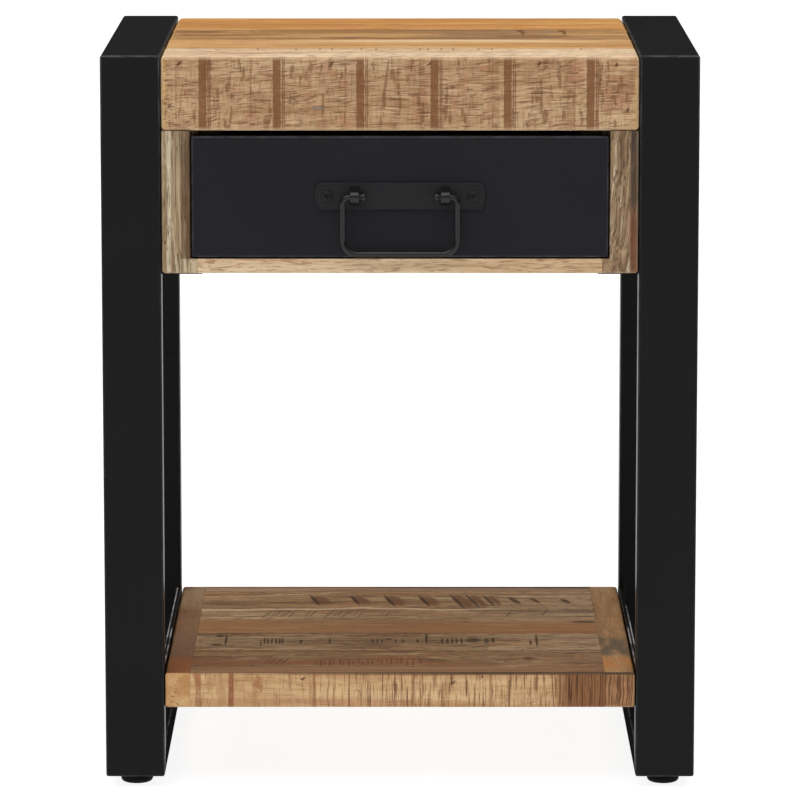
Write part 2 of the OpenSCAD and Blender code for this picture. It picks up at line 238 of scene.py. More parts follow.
class Wood:
    """Rough-sawn wood. u runs along the grain, v and w across it. Layers are laid one over another."""

    def __init__(self, name, grain, tones, seed, warp=1.0, broad=(3.0, 60.0), slope=0.0,
                 spread=WOOD_SPREAD):
        self.graph = graph = Graph(name)
        self.both = graph.times  # where masks overlap
        self.place = graph.coords()
        x, y, z = graph.split(self.place)
        along, across, third = {"x": (x, y, z), "y": (y, x, z), "z": (z, x, y)}[grain]
        self.u = graph.math("ADD", along, 0.731 * seed)
        times = graph.times
        stretched = graph.join(times(self.u, 7.0), times(across, 16.0), times(third, 16.0))
        bend = graph.math("MULTIPLY_ADD", graph.noise(stretched, 1.0, detail=3), 0.02 * warp, -0.01 * warp)
        bend = graph.math("MULTIPLY_ADD", along, -slope, bend)
        self.v = graph.math("ADD", across, bend)
        self.w = graph.math("ADD", graph.math("ADD", third, bend), 0.177 * seed)
        self.tone = graph.ramp(self.grain(*broad, detail=4, roughness=0.6), tones, spread)
        self.height = self.grain(24.0, 900.0)
        self.upper = 1.0

    def grain(self, along, across, detail=3.0, roughness=0.55):
        """Noise stretched along the grain; the two numbers are its detail per metre."""
        times = self.graph.times
        vector = self.graph.join(times(self.u, along), times(self.v, across), times(self.w, across))
        return self.graph.noise(vector, 1.0, detail, roughness)

    def cloud(self, along, across, low, high, faint, full, detail=3.0, roughness=0.55):
        """Mask of patches along the grain, from faint to full where the noise goes from low to high."""
        return self.graph.remap(self.grain(along, across, detail, roughness), low, high, faint, full)

    def either(self, masks):
        result = masks[0]
        for mask in masks[1:]:
            result = self.graph.math("MAXIMUM", result, mask)
        return result

    def lay(self, tone, *masks, depth=0.0):
        """Mixes a tone in where all masks are 1, and lowers the surface there."""
        mask = self.both(*masks)
        self.tone = self.graph.mix(mask, self.tone, tone)
        if depth:
            self.height = self.graph.math("MULTIPLY_ADD", mask, -depth, self.height)

    def hairs(self, tone, strength, amount=0.48, across=620.0, along=9.0):
        """Long hair lines along the grain."""
        self.lay(tone, self.cloud(along, across, amount, amount + 0.2, 0, strength, 4, 0.7))

    def pores(self, tone, strength, amount=0.58, along=95.0, across=1100.0):
        """Short open pores, a few millimetres long."""
        self.lay(tone, self.cloud(along, across, amount, amount + 0.08, 0, strength, 2, 0.5), depth=0.5)

    def streaks(self, tone, strength, along=2.0, across=24.0, amount=0.5, zone=1.0):
        """Colour streaks along the grain."""
        self.lay(tone, self.cloud(along, across, amount, amount + 0.14, 0, strength), zone)

    def saw_marks(self, tone, strength, zone, pitch, reach, amount, sharp=0.08, seed=0.0):
        """Lines across the grain, pitch wide and reach long, in millimetres. A high amount leaves few."""
        graph = self.graph
        across = graph.times(graph.math("ADD", self.v, self.w), 1000.0 / reach)
        vector = graph.join(graph.times(self.u, 1000.0 / pitch), across, 3.7 + seed)
        mask = graph.remap(graph.noise(vector, 1.0, 2, 0.6), amount, amount + sharp, 0, strength)
        self.lay(tone, mask, zone, depth=0.5)

    def between(self, axis, low, high, soft=0.5):
        """1 between two places along a frame axis, in millimetres."""
        graph = self.graph
        value = graph.split(self.place)["xyz".index(axis)]
        rise = graph.remap(value, (low - soft) * MM, (low + soft) * MM)
        return self.both(rise, graph.remap(value, (high - soft) * MM, (high + soft) * MM, 1.0, 0.0))

    def bands(self, axis, places, half, tone, zone=1.0, strength=0.9, soft=0.3, mottle=0.7,
              wave=(0.6, 300.0)):
        """Stripes at places along an axis, in millimetres, with wavy edges and an uneven tone."""
        graph = self.graph
        value = graph.split(self.place)["xyz".index(axis)]
        sway, scale = wave
        shift = graph.math("MULTIPLY_ADD", graph.noise(self.place, scale), 2 * sway * MM, -sway * MM)
        value = graph.math("ADD", value, shift)
        stripes = [graph.remap(graph.math("ABSOLUTE", graph.math("SUBTRACT", value, place * MM)),
                               (half - soft) * MM, (half + soft) * MM, 1.0, 0.0) for place in places]
        uneven = graph.remap(graph.noise(self.place, 330.0), 0.35, 0.6, mottle * strength, strength)
        self.lay(tone, self.either(stripes), uneven, zone, depth=1.0)

    def marks(self, plane, spots, tone, zone=1.0, rough=0.7, strength=0.92):
        """Small marks on plane xz or xy, in millimetres: (across, up, width, height, tilt in degrees)."""
        graph = self.graph
        x, y, z = graph.split(self.place)
        flat = graph.join(x, z if plane == "xz" else y, 0.0)
        ragged = graph.times(graph.noise(self.place, 700.0, detail=2), rough)
        found = []
        for across, up, width, height, tilt in spots:
            local = graph.add("ShaderNodeMapping", flat, vector_type="TEXTURE")
            local.inputs["Location"].default_value = (across * MM, up * MM, 0)
            local.inputs["Rotation"].default_value = (0, 0, math.radians(tilt))
            local.inputs["Scale"].default_value = (width / 2 * MM, height / 2 * MM, 1)
            reach = graph.add("ShaderNodeVectorMath", local.outputs[0], operation="LENGTH")
            distance = graph.math("ADD", reach.outputs["Value"], ragged)
            found.append(graph.remap(distance, 0.85, 1.45, strength, 0.0))
        self.lay(tone, self.either(found), zone, self.upper if plane == "xy" else 1.0, depth=1.5)

    def edges(self, tone, strength):
        """Tone along the arrises, partly sanded wear and partly painted light: a painted highlight where the
        tone is pale, painted shade where it is dark.
        """
        graph = self.graph
        broken = graph.remap(graph.noise(self.place, 90.0), 0.25, 0.6, 0.6 * strength, strength)
        self.lay(tone, graph.attribute("arris"), broken)

    def finish(self, edge_tone=None, edge_strength=0.75, relief=0.35):
        """Lays the arris tone (sanded wear with painted light), connects the layers to the shader and returns
        the material.
        """
        graph = self.graph
        if edge_tone:
            self.edges(edge_tone, edge_strength)
        graph.surface(self.tone, graph.remap(self.height, 0.2, 0.8, 0.70, 0.56), 0.25)
        graph.bump(self.height, relief, 0.0006)
        return graph.owner


def front_face(wood, tones):
    """Lays the sawn front face over a board and returns its mask."""
    face = wood.between("y", FRONT_Y / MM - 5, FRONT_Y / MM + 1.4, 0.3)
    wood.lay(wood.graph.ramp(wood.grain(5.0, 110.0, 4), tones, WOOD_SPREAD), face)
    return face


def top_wood_front():
    """Front stave of the top: pale on top, saw-marked on its front face."""
    wood = Wood("top_wood_1", "x", ("e2be96", "f3d5ae", "fae2bc"), 1, slope=0.07)
    wood.streaks("ce9e7e", 0.8, 3.0, 110, 0.47, wood.between("x", -220, 10, 90))
    wood.hairs("c8986c", 0.35)
    wood.pores("a07048", 0.4)
    face = front_face(wood, ("ab8660", "be9a73", "cbaa83"))
    ends = wood.either([wood.between("x", -170, -156, 2), wood.between("x", 157, 170, 3)])
    wood.lay("cc9f60", face, ends)
    spans = ((-4, 0), (12, 17), (58, 66), (109, 116))
    soft = wood.either([wood.between("x", low, high, 1) for low, high in spans])
    wood.lay("996e49", face, soft, wood.cloud(30, 60, 0.3, 0.6, 0.1, 0.6))
    wood.saw_marks("af7959", 0.5, face, pitch=11, reach=26, amount=0.54)
    wood.saw_marks("7d5638", 0.34, face, pitch=1.2, reach=14, amount=0.5, sharp=0.16)
    wood.saw_marks("7f5636", 0.75, face, pitch=4, reach=22, amount=0.58, seed=2)
    wood.saw_marks("6c462a", 0.8, face, pitch=1.7, reach=120, amount=0.7, seed=4)
    wood.hairs("805a3a", 0.65, 0.49, 760)
    wood.pores("634026", 0.65, 0.54, 60, 1100)
    wood.pores("d9ba94", 0.5, 0.57, 60, 1000)
    wood.bands("x", [-149.3, -99.7, -36.3, 13.6, 61.8, 116.6], 0.4, "8a5c3e", face, 0.7, mottle=0.3)
    bands = (-131.6, -82.1, -26.5, 23.0, 71.8, 127.0)
    wood.bands("x", bands, 2.6, "7c502e", face, 0.9, mottle=0.9)
    beside = [place + gap for gap in (3.8, 5.0) for place in bands]
    wood.bands("x", beside, 0.4, "764c30", face)
    nails = [(-147.2, 494.5, 2.8, 7, -50), (-154, 465.6, 2.2, 5, -50), (-45.5, 494.5, 2.4, 6, -45),
             (19.6, 494.5, 2.4, 6, -55), (92.8, 494.5, 2.8, 5, -35), (144.3, 493.6, 2.6, 4, -20),
             (151.8, 463.6, 2.2, 5, -20), (-10.5, 467, 3, 5, -30), (-9.5, 482, 2.4, 40, -8)]
    wood.marks("xz", nails[:-2], "50321a", face, rough=1.0, strength=0.85)
    wood.marks("xz", nails[-2:], "805c42", face, strength=0.7)
    wood.marks("xz", [(-55, 465, 10, 3, 0)], "6e6e6e", face, strength=0.5)
    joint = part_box("top_stave_1")[1][1] / MM
    row = (-96, -70, -54, -46, -26, -16, 13.5, 19, 28, 36, 53, 62, 122)
    wood.marks("xy", [(x, joint - 5, 1.8, 15, 0) for x in row], "7e5836", strength=0.75)
    # Pale arris tone: sanded wear and a painted highlight along the front arrises.
    return wood.finish("e6c69e", 0.75)


def top_wood_second():
    """Second stave of the top: ochre, with a pale wavy line along its rear joint."""
    wood = Wood("top_wood_2", "x", ("c08b4d", "d29f5f", "dcb072"), 2, 2.4)
    wood.streaks("dfc092", 0.5, 1.6, 60, 0.5)
    wood.streaks("b17b43", 0.6, 2.0, 70, 0.48, wood.between("x", -20, 200, 60))
    wood.streaks("ce8a54", 0.5, 5.0, 70, 0.52)
    wood.hairs("a06c3a", 0.5)
    wood.pores("82562e", 0.45)
    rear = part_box("top_stave_2")[1][1] / MM
    wood.bands("y", [rear - 8], 7, "e5c79b", wood.between("x", -60, 110, 50), 0.85, 4, 0.8, (14, 12.0))
    return wood.finish("dcb985")


def top_wood_third():
    """Third stave of the top: browner, with two dark corners near its rear joint."""
    wood = Wood("top_wood_3", "x", ("9d6f3d", "b88750", "c99a60"), 3, 3.0)
    wood.streaks("7a5433", 0.85, 5, 80, 0.5)
    wood.streaks("d5a96e", 0.6, 5, 100, 0.53)
    wood.lay("916b4b", wood.between("x", 20, 120, 25), wood.cloud(4, 50, 0.35, 0.6, 0.1, 0.8))
    wood.hairs("7a502d", 0.5)
    wood.pores("664325", 0.45)
    (_, front, _), (_, rear, _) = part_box("top_stave_3")
    wood.bands("y", [rear / MM - 6], 1.4, "76502d", strength=0.75, soft=1, wave=(14, 14.0))
    left = wood.between("x", -170, -40, 30)
    wood.bands("y", [front / MM + 6], 2.4, "785a3f", left, 0.7, 1.5, 0.7, (12, 14.0))
    corners = [(84, rear / MM - 12), (113, rear / MM - 12)]
    wood.marks("xy", [(x - 9, y - 4, 16, 34, 0) for x, y in corners], "967a56", strength=0.6)
    wood.marks("xy", [(92, front / MM + 22, 70, 20, 0)], "885c38", strength=0.6)
    dark = [(x, y, 6, 20, 0) for x, y in corners] + [(x + 1.5, y - 14, 3, 34, 0) for x, y in corners]
    wood.marks("xy", dark, "64461c", rough=0.6, strength=0.8)
    return wood.finish("dbb278")


def top_wood_rear():
    """Rear stave of the top: yellow-brown and even."""
    wood = Wood("top_wood_4", "x", ("c18443", "d49953", "dfa964"), 4, 2.4)
    wood.streaks("ac7237", 0.6, 2.0, 60, 0.52)
    wood.streaks("e5b470", 0.5, 2.4, 90, 0.54)
    wood.streaks("ca743e", 0.45, 6.0, 50, 0.53)
    wood.streaks("c49446", 0.5, 8.0, 90, 0.55)
    wood.hairs("a06830", 0.45)
    wood.pores("805026", 0.45)
    return wood.finish("e1b475")


def case_wood(name, sign):
    """Weathered side panels with long flowing upright grain, darker along one edge."""
    left = sign < 0
    tones = ("8c7458", "ae9676", "c6b292") if left else ("785e44", "987c5e", "b09676")
    slope = 0.0 if left else 0.12
    wood = Wood("case_wood_" + name, "z", tones, 5 + sign, 1.8, (5.0, 260.0), slope, spread=0.12)
    wood.streaks("624830", 0.7, 4, 330, 0.53)
    wood.streaks("d6c6aa", 0.65, 3.5, 280, 0.57)
    front = wood.between("y", FRONT_Y / MM - 20, FRONT_Y / MM + 14, 6)
    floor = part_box("case_bottom")[1][2] / MM
    mottled = wood.both(front, wood.cloud(5, 160, 0.25, 0.55, 0.6, 1.0))
    if left:
        wood.lay("664e35", mottled, wood.between("x", -146.6, -130, 0.8), wood.between("z", floor, 600))
        wood.bands("x", [-154.4], 1.3, "d4c6a8", front, 0.85, 0.6, 0.75, (1.6, 26.0))
    else:
        for low, high, tone in ((396, 600, "42322a"), (300, 396, "70442a")):
            wood.lay(tone, mottled, wood.between("x", 154, 170, 1), wood.between("z", low, high, 8))
        flecks = wood.cloud(150, 500, 0.56, 0.64, 0, 0.7, detail=2)
        wood.lay("4e3826", front, flecks, wood.between("z", 400, 600, 14), depth=0.6)
    wood.hairs("503824", 0.6, 0.48, 1000, 5)
    wood.pores("3e2a1c", 0.65, 0.57, 50, 1400)
    return wood.finish("c4ac8a", 0.5)


def case_bottom_wood():
    """Floor of the drawer case; only its pale front edge shows."""
    wood = Wood("case_wood_bottom", "x", ("b6946d", "d6b893", "e4ccaa"), 6)
    wood.hairs("9d744e", 0.5)
    wood.pores("875e3c", 0.6, 0.55, 80)
    return wood.finish("e6ceaa", 0.6)


def dark_front_arris(wood, strength):
    """Dark line along the upper front arris of the shelf."""
    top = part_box("shelf_front_rim")[1][2] / MM
    front = wood.between("y", FRONT_Y / MM - 1, FRONT_Y / MM + 3.4, 0.8)
    wood.lay("3a2a1e", front, wood.between("z", top - 1.3, top + 1), strength, depth=0.8)


def shelf_wood_front():
    """Front rim of the shelf: its face is an offcut with irregular upright saw marks."""
    wood = Wood("shelf_wood_front", "x", ("7c5a3e", "906c4c", "9e7a5a"), 7)
    wood.hairs("684a32", 0.4)
    face = front_face(wood, ("b1875b", "c79f72", "d6b385"))
    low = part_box("shelf_front_rim")[0][2] / MM
    pink = wood.cloud(14, 60, 0.42, 0.58, 0, 0.4, detail=2)
    wood.lay("be8570", face, wood.between("z", low + 3.5, low + 6, 0.8), pink)
    wood.hairs("8e623a", 0.3, 0.5, 700)
    wood.pores("744c2e", 0.3, 0.58, 90, 1200)
    middle = wood.between("x", -70, 170, 50)
    right = wood.between("x", 108, 175, 8)
    wood.saw_marks("9e6e48", 0.4, face, pitch=6, reach=26, amount=0.56)
    wood.lay("885c39", face, right)
    middle, right = wood.both(face, middle), wood.both(face, right)
    wood.saw_marks("7a5030", 0.5, middle, pitch=1.0, reach=30, amount=0.55)
    wood.saw_marks("8c603c", 0.5, face, pitch=1.6, reach=10, amount=0.6, seed=3)
    wood.saw_marks("603a22", 0.8, middle, pitch=1.1, reach=34, amount=0.58, sharp=0.05, seed=2)
    wood.saw_marks("70442a", 0.7, middle, pitch=2.6, reach=24, amount=0.64, seed=5)
    wood.saw_marks("482a1a", 0.85, right, pitch=0.9, reach=40, amount=0.53, sharp=0.05, seed=8)
    wood.bands("x", [-114.7], 1.7, "8b5436", face)
    wood.bands("x", [-138, -136, -58, 8.5, 61.5], 0.9, "915f3f", face, 0.7)
    wood.marks("xz", [(-96, 72, 12, 18, 0)], "98623e", face, rough=1.3, strength=0.75)
    wood.marks("xz", [(-138, 77, 5, 16, 20)], "9e6440", face, strength=0.7)
    nails = [(-66, 76, 2.4, 5, -50), (36, 73.5, 2.4, 5, -60), (56, 77.5, 2, 3, -20)]
    wood.marks("xz", nails, "4c2e1a", face, rough=1.0, strength=0.85)
    dark_front_arris(wood, wood.between("x", -60, 200, 160))
    return wood.finish("aa845e", 0.3)


def shelf_wood_side(name, seed, tones):
    """Side rim of the shelf, with grain along Y."""
    wood = Wood("shelf_wood_" + name, "y", tones, seed, broad=(6.0, 60.0))
    wood.streaks("7a5a3e", 0.35, 8, 110, 0.5)
    wood.hairs("705238", 0.4)
    wood.pores("5c402a", 0.4, 0.57)
    return wood


def shelf_wood_left():
    """Left rim of the shelf: three tones along it, and a fleck of end grain in front."""
    wood = shelf_wood_side("left", 8, ("6c4b31", "7f5c3e", "8d6949"))
    cloud = wood.cloud(12, 60, 0.3, 0.6, 0.3, 0.9)
    lengths = ((78, 170, 14, "9f8463"), (-84, -12, 14, "7a5d49"), (-150, -92, 10, "91582f"))
    for low, high, soft, tone in lengths:
        wood.lay(tone, wood.between("y", low, high, soft), cloud)
    face = front_face(wood, ("b68655", "c49765", "cfa777"))
    wood.hairs("94643b", 0.3, 0.5, 700)
    specks = wood.graph.remap(wood.graph.noise(wood.place, 620.0, 1), 0.62, 0.68, 0, 0.85)
    pith = wood.both(wood.between("x", -156, -149, 1.5), wood.between("z", 54, 78, 2))
    wood.lay("5f4222", face, specks, pith, depth=0.6)
    return wood.finish("af8a5e", 0.4)


def shelf_wood_right():
    """Right rim of the shelf: lighter, with a grey stretch and upright grain in front."""
    wood = shelf_wood_side("right", 9, ("9b754c", "b0865b", "ba946a"))
    cloud = wood.cloud(30, 110, 0.3, 0.55, 0.2, 0.9)
    wood.lay("b77d47", wood.between("y", -130, -92, 10), cloud)
    wood.lay("655843", wood.between("y", -86, -26, 8), cloud)
    face = front_face(wood, ("8f6542", "ac7f57"))
    graph = wood.graph
    stretched = graph.join(graph.times(wood.v, 1000.0), 0.0, graph.times(wood.w, 40.0))
    upright = graph.remap(graph.noise(stretched, 1.0), 0.46, 0.56, 0, 0.8)
    wood.lay("563520", face, upright, depth=0.6)
    wood.edges("c29f6f", 0.8)
    dark_front_arris(wood, 0.85)
    return wood.finish()


def shelf_stave_wood(number, tones, seed, warp=2.0, right=0.5):
    """Shelf stave: soft streaks in several hues, and lighter towards the right."""
    wood = Wood("shelf_wood_%d" % number, "x", tones, seed, warp, (6.0, 55.0))
    wood.streaks("a6764e", 0.6, 6, 50, 0.48)
    wood.streaks("96825e", 0.6, 5, 70, 0.5)
    wood.lay("bea280", wood.between("x", 80, 200, 70), right)
    wood.streaks("74543a", 0.8, 5, 120, 0.52)
    wood.streaks("d0b48e", 0.6, 7, 150, 0.55)
    wood.hairs("60442e", 0.75, 0.48, 420)
    wood.pores("4c3424", 0.65, 0.56, 80, 700)
    lo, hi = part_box("shelf_stave_%d" % number)
    wood.upper = wood.between("z", hi[2] / MM - 4, hi[2] / MM + 4)
    joints = [lo[1] / MM, hi[1] / MM]
    wood.bands("y", joints, 0.6, "402c1e", strength=0.7, soft=0.4, mottle=0.2)
    return wood


def joint_highlight(wood):
    """Painted highlight: a wavy pale line over the joint of the two rear staves."""
    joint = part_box("shelf_stave_3")[1][1] / MM
    zone = wood.between("x", -160, 70, 30)
    wood.bands("y", [joint - 2], 3.0, "d4ba98", zone, 0.9, 1.4, 0.7, (24, 13.0))


def shelf_wood_first():
    """Front stave of the shelf, with a row of short upright saw strokes."""
    wood = shelf_stave_wood(1, ("6f5034", "83603e", "906e49"), 10, 2.5, 0.3)
    wood.streaks("865436", 0.7, 3, 50, 0.42, wood.between("y", -130, -88, 6))
    row = (-57, -54, -51.6, -48, -45.5, -41, -38.6, -35, -32.4, -28, -25.6, -22, -19, -15, -12.6, -9, -6,
           -2, 1, 5, 9, 14)
    strokes = [(x, -107 + 4 * math.sin(2 * x), 1.5 + 0.5 * math.sin(x), 20 + 6 * math.sin(3 * x), 0)
               for x in row]
    leaning = [(x, -106, 1.8, 22, -14) for x in (-91, -87.5, -83, -79)]
    wood.marks("xy", strokes + leaning, "603a22", rough=0.4, strength=0.6)
    wood.marks("xy", [(88, -96, 8, 12, 0)], "5d3722", strength=0.8)
    return wood.finish("a4825a", 0.3)


def shelf_wood_second():
    """Second stave of the shelf, with dark upright ticks and blots."""
    wood = shelf_stave_wood(2, ("8b6d4d", "9e7f5c", "ad906c"), 11)
    rows = [((-94.5, -92.1, -89.4, -86.5, -84, -82), 2.3, 27), ((-19, -15.6, -12.5, -3, 2), 1.9, 18),
            ((29.5, 33.2, 36.5, 39.6, 43), 2.5, 24)]
    ticks = [(x, -38, width, height, 0) for places, width, height in rows for x in places]
    upright = [(-121.5, -34, 2.4, 50, 0), (-97, -46, 1.4, 30, 0), (-69, -40, 3.2, 17, 0),
               (-49, -38, 2.4, 23, 0), (12.3, -38, 2.2, 19, 0), (18.5, -28, 2.4, 50, 0),
               (65, -36, 3.2, 24, 0), (91, -44, 2.4, 20, 0), (95.4, -36, 2.4, 56, 0)]
    blots = [(-126, -21, 10, 14, 0), (-127.5, -51, 13, 13, 0), (-8, -33, 9, 7, 0), (51, -36, 17, 26, 0),
             (60.5, -38, 6, 30, 0)]
    wood.marks("xy", ticks + upright, "362519", rough=0.9, strength=0.85)
    wood.marks("xy", blots, "38261a", rough=1.1, strength=0.8)
    wood.marks("xy", [(-12, -63, 14, 9, 0)], "70482f", rough=1.1, strength=0.7)
    return wood.finish("aa855c", 0.3)


def shelf_wood_third():
    """Third stave of the shelf, with a leaning hatch."""
    wood = shelf_stave_wood(3, ("9c7d5b", "b1926b", "c4a780"), 12)
    wood.lay("9e6e42", wood.between("y", -16, 34, 9), wood.cloud(3, 30, 0.3, 0.55, 0.35, 0.85))
    wood.bands("y", [-9], 3, "965638", wood.between("x", 60, 170, 40), 0.7, 2, 0.6, (10, 14.0))
    row = (-96, -93, -90.5, -87, -84, -81, -77.5, -66, -62, -52, -49, -46.5, -43, -39.5, -36, -32, -28,
           -13, -9, 12)
    hatch = [(x, 55 + 3 * math.sin(x), 1.1 + 0.4 * math.sin(2 * x), 24 + 6 * math.sin(3 * x), -12)
             for x in row]
    wood.marks("xy", hatch, "644a32", rough=0.5, strength=0.75)
    wood.marks("xy", [(104, 62, 1.3, 34, -11), (78, 56, 1.4, 24, -11)], "684c36", rough=0.5, strength=0.8)
    wood.marks("xy", [(131, 27, 22, 11, 0)], "544636", strength=0.8)
    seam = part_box("shelf_stave_3")[0][1] / MM
    wood.bands("y", [seam + 0.6], 1.4, "322216", wood.between("x", -145, 30, 30), 0.8, 0.6, 0.4, (2, 40.0))
    joint_highlight(wood)
    return wood.finish("b0906c", 0.3)


def shelf_wood_fourth():
    """Rear stave of the shelf, with a row of leaning wedges."""
    wood = shelf_stave_wood(4, ("9c7851", "b38c60", "c49f70"), 13)
    patch = wood.cloud(6, 60, 0.3, 0.55, 0.4, 0.9)
    wood.lay("735535", wood.between("x", -142, -100, 12), wood.between("y", 84, 104, 5), patch)
    wedges = [(-57, 104, 15, 40), (-28, 104, 13, 34), (-3, 102, 14, 46), (22, 102, 13, 44),
              (46, 100, 13, 54), (57, 102, 8, 48), (69, 103, 6, 40)]
    wood.marks("xy", [(*spot, 12) for spot in wedges], "70462a", rough=0.7, strength=0.8)
    edges = [(x - 4.5, y, 3.2, height * 0.95, 11) for x, y, _, height in wedges]
    small = [(83, 103, 5, 26, 16), (98, 103, 4, 20, 18), (120, 101, 5, 18, 18)]
    wood.marks("xy", edges + small, "422818", rough=0.4, strength=0.85)
    joint_highlight(wood)
    return wood.finish("b59167", 0.3)


def shelf_wood_rear():
    """Rear rim of the shelf, with painted shade along its rear arris."""
    wood = Wood("shelf_wood_rear", "x", ("826246", "9c7a5a", "ac8c6a"), 14)
    wood.hairs("60442e", 0.5)
    wood.pores("503826", 0.5)
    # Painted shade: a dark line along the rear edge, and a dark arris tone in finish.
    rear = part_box("shelf_rear_rim")[1][1] / MM
    line = wood.between("y", rear - 6, rear + 5)
    wood.lay("2c1f17", line, wood.between("x", -60, 400, 200), depth=0.5)
    return wood.finish("4a3424", 0.9)


def inner_wood(name, grain, seed):
    """Plain planed wood of the drawer box and the hidden parts."""
    wood = Wood(name, grain, ("be9c70", "ceae82", "dabe94"), seed)
    wood.hairs("a0784e", 0.4)
    wood.pores("88623e", 0.5)
    return wood.finish("e0c69c", 0.5, relief=0.2)


def shade_strip_wood():
    """Wood of the strips round the drawer, painted near black as shade where they show in the gap over the
    drawer front.
    """
    wood = Wood("inner_wood_painted_shade", "y", ("2e2016", "463222"), 20, spread=0.15)
    return wood.finish("e0c69c", 0.5, relief=0.2)


def plywood():
    """Thin plywood: a plain face veneer."""
    wood = Wood("plywood", "y", ("c09e74", "d2b288", "dec29a"), 17, 2.0, (2.0, 30.0))
    wood.streaks("b28a5c", 0.5, 1.5, 60, 0.5)
    wood.hairs("a0784e", 0.35)
    return wood.finish("e0c69c", 0.5, relief=0.15)


# ---------------------------------------------------------------- mesh helpers

def link(name, data):
    """A new object in the scene."""
    obj = bpy.data.objects.new(name, data)
    bpy.context.collection.objects.link(obj)
    return obj


def link_mesh(name, bm):
    mesh = bpy.data.meshes.new(name)
    bm.to_mesh(mesh)
    bm.free()
    for face in mesh.polygons:
        face.use_smooth = True
    return link(name, mesh)


def modify(obj, kind, **settings):
    """Adds a modifier."""
    modifier = obj.modifiers.new(kind.lower(), kind)
    for key, value in settings.items():
        setattr(modifier, key, value)


def even_normals(obj):
    """Keeps large faces flat beside their rounded edges."""
    modify(obj, "WEIGHTED_NORMAL", keep_sharp=True)


def stand_for(bm, node, material, outer="", width=0.0):
    """Makes a mesh the visible shape of a CAD node, on the same body, with the given material.

    Its outer arrises are marked for the material, fading out at width away from them.
    """
    obj = link_mesh("fine_" + node, bm)
    if outer:
        lo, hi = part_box(node)
        arris = obj.data.attributes.new("arris", "FLOAT", "POINT")
        for vert, item in zip(obj.data.vertices, arris.data):
            item.value = edge_reach(vert.co, lo, hi, outer, width)
    obj.data.materials.append(material)
    even_normals(obj)
    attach(obj, BODY_OF[node])
    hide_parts(node)


def refine(node, material, width):
    """Keeps a CAD node and softens its edges."""
    obj = frame["nodes"][node]
    for face in obj.data.polygons:
        face.use_smooth = True
    obj.data.materials.clear()
    obj.data.materials.append(material)
    modify(obj, "WELD", merge_threshold=0.01 * MM)
    modify(obj, "BEVEL", limit_method="ANGLE", angle_limit=math.radians(35), width=width, segments=2)
    even_normals(obj)


def evaluated_bmesh(obj):
    """The object's mesh with its modifiers applied, as a bmesh. The object is removed."""
    mesh = bpy.data.meshes.new_from_object(obj.evaluated_get(bpy.context.evaluated_depsgraph_get()))
    bm = bmesh.new()
    bm.from_mesh(mesh)
    bpy.data.objects.remove(obj)
    bpy.data.meshes.remove(mesh)
    return bm


def face_key(normal):
    """The side of a box that a face looks out of, such as "-y". Several sides are written "-x-y"."""
    axis = max(range(3), key=lambda i: abs(normal[i]))
    return ("+" if normal[axis] > 0 else "-") + "xyz"[axis]


def box_bmesh(lo, hi):
    bm = bmesh.new()
    bmesh.ops.create_cube(bm, size=1.0)
    for vert in bm.verts:
        vert.co = Vector(lo[i] if vert.co[i] < 0 else hi[i] for i in range(3))
    bm.normal_update()
    return bm


def rounded(bm, radius_of):
    """Rounds a bmesh's edges; radius_of(edge) gives each edge's radius in metres."""
    layer = bm.edges.layers.float.new("bevel_weight_edge")
    radii = {edge: radius_of(edge) for edge in bm.edges}
    widest = max(radii.values())
    for edge, radius in radii.items():
        edge[layer] = radius / widest
    obj = link_mesh("rounding", bm)
    modify(obj, "BEVEL", limit_method="WEIGHT", width=widest, segments=5)
    bpy.context.view_layer.update()
    return evaluated_bmesh(obj)


def without(bm, lo, hi):
    """Takes a box away from a bmesh."""
    obj = link_mesh("body", bm)
    cutter = link_mesh("cutter", box_bmesh(lo, hi))
    modify(obj, "BOOLEAN", operation="DIFFERENCE", solver="EXACT", object=cutter)
    bpy.context.view_layer.update()
    result = evaluated_bmesh(obj)
    bpy.data.objects.remove(cutter)
    return result


def slice_up(bm, axis, places):
    """Cuts the mesh by planes across an axis, so that its shape can vary along it."""
    normal = [0, 0, 0]
    normal[axis] = 1
    for place in places:
        centre = [0, 0, 0]
        centre[axis] = place
        everything = bm.verts[:] + bm.edges[:] + bm.faces[:]
        bmesh.ops.bisect_plane(bm, geom=everything, dist=1e-6, plane_co=centre, plane_no=normal)


def steps(low, high, step):
    """Evenly spaced places between low and high, about a step apart."""
    count = max(1, round((high - low) / step))
    return [low + (high - low) * i / count for i in range(1, count)]


def edge_reach(point, lo, hi, outer, width):
    """1 on an outer arris of the box, falling to 0 at width away from it."""
    near = sorted(min((point[i] - lo[i]) if "-" + axis in outer else 1.0,
                      (hi[i] - point[i]) if "+" + axis in outer else 1.0) for i, axis in enumerate("xyz"))
    share = max(0.0, 1.0 - near[1] / width)
    return share * share * (3 - 2 * share)


def wear(bm, lo, hi, outer, width, amount):
    """Wears the outer arrises back by an uneven amount, always inwards."""
    bm.normal_update()
    for vert in bm.verts:
        share = edge_reach(vert.co, lo, hi, outer, width)
        if share > 0:
            wave = 0.5 + 0.5 * noise.noise(vert.co * 60) + 0.25 * noise.noise(vert.co * 260)
            vert.co -= vert.normal * (amount * share * max(0.0, min(1.0, wave)))


def board(node, outer, material, radius=2 * MM, arris_amount=0.35 * MM, cut=None):
    """Wooden board in a CAD node's box. Arrises between outer faces get the radius, the others a seam."""
    lo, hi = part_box(node)

    def radius_of(edge):
        return radius if all(face_key(face.normal) in outer for face in edge.link_faces) else SEAM

    bm = rounded(box_bmesh(lo, hi), radius_of)
    if cut:
        bm = without(bm, *cut)
    for axis in range(3):
        low, high = lo[axis], hi[axis]
        if high - low > 4 * BOARD_STEP:
            slice_up(bm, axis, steps(low, high, BOARD_STEP))
        if high - low > 6 * radius:
            slice_up(bm, axis, (low + 2.2 * radius, high - 2.2 * radius))
    wear(bm, lo, hi, outer, 1.6 * radius, arris_amount)
    stand_for(bm, node, material, outer, 1.1 * radius)


